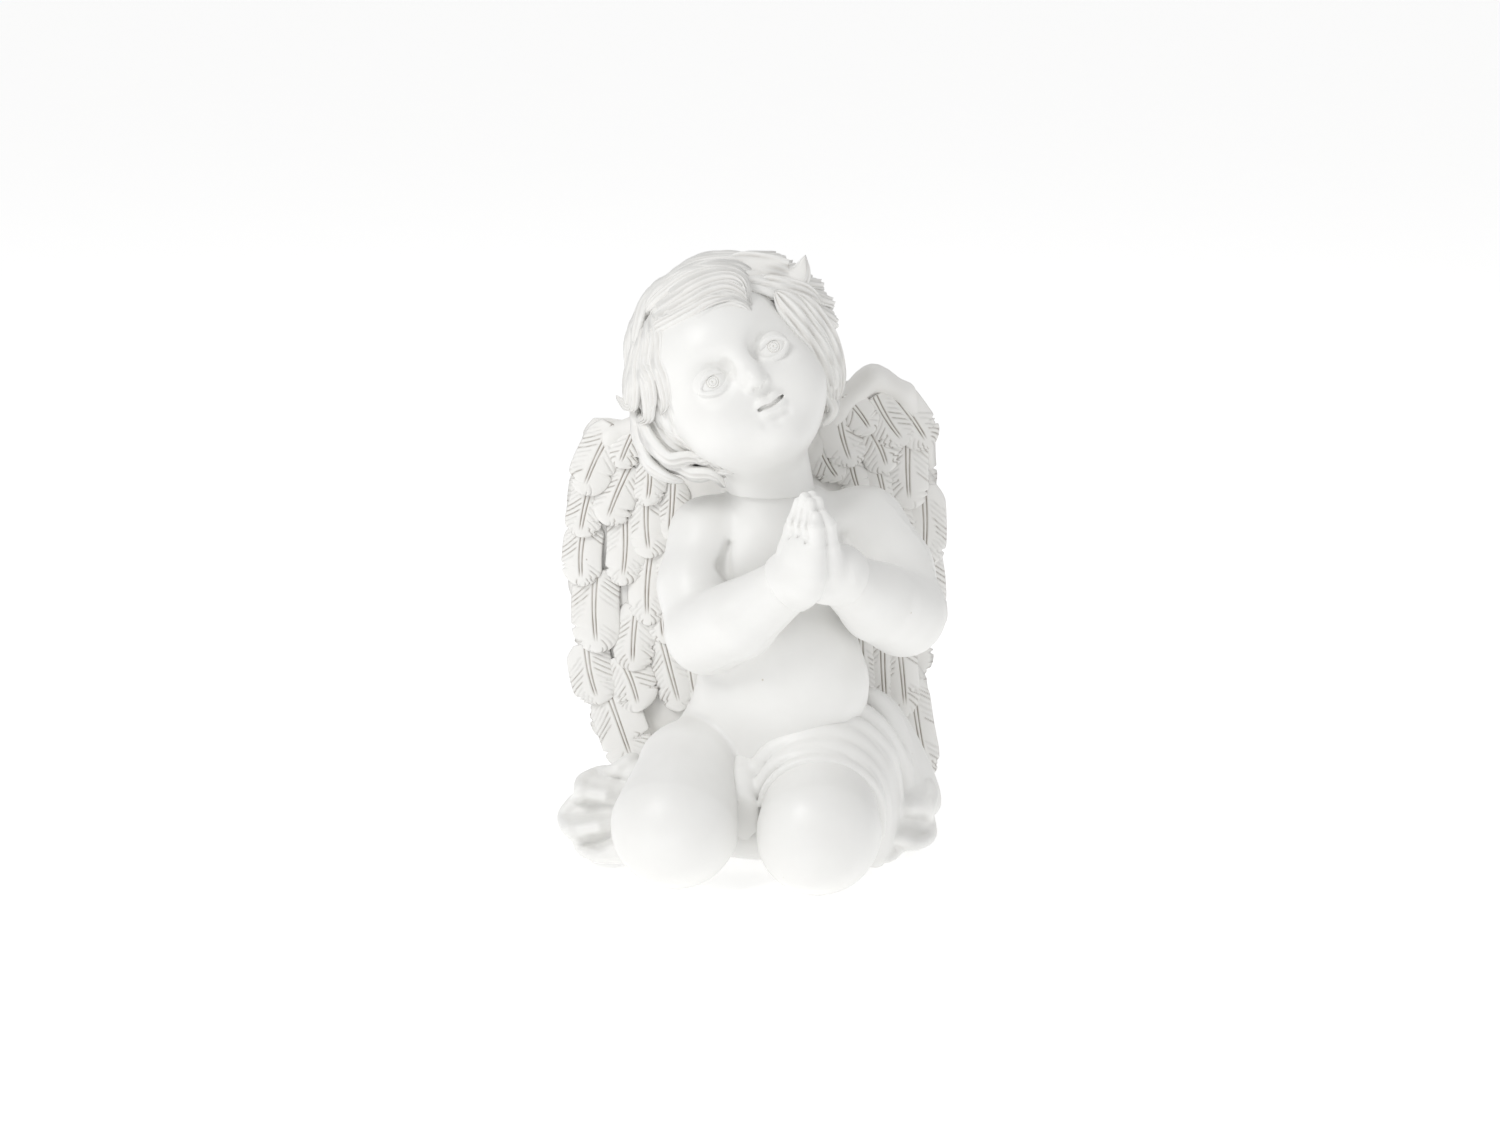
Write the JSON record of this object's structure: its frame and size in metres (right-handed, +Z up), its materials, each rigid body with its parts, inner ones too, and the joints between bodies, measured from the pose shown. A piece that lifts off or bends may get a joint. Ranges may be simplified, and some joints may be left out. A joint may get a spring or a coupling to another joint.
{
  "type": "kneeling cherub figurine",
  "caption": "Kneeling praying cherub figurine: hollow cast body on a spread cloth, with a tilted curly head, praying hands and feathered wings that are pinned and glued on.",
  "frame": {"origin": "centre of the bounding box on the plane the figurine stands on", "axes": "+Z up; the body and knees face -Y; +X is the cherub's own left, the right-hand side seen from the front"},
  "size_m": [0.122, 0.112, 0.2],
  "materials": {
    "white_resin": "hand-rubbed satin white cast polyresin",
    "washed_resin": "cast polyresin with a warm tan wash left in the scribed feather lines",
    "steel": "plain drawn steel pin",
    "plug": "matt moulded disc"
  },
  "bodies": {
    "root": {"body_casting": "white_resin", "head_casting": "white_resin", "praying_hands": "white_resin", "right_wing": "washed_resin", "left_wing": "washed_resin", "neck_dowel": "steel", "wrist_pins": "steel", "right_wing_pins": "steel", "left_wing_pins": "steel", "base_plug": "plug"}
  },
  "joints": []
}
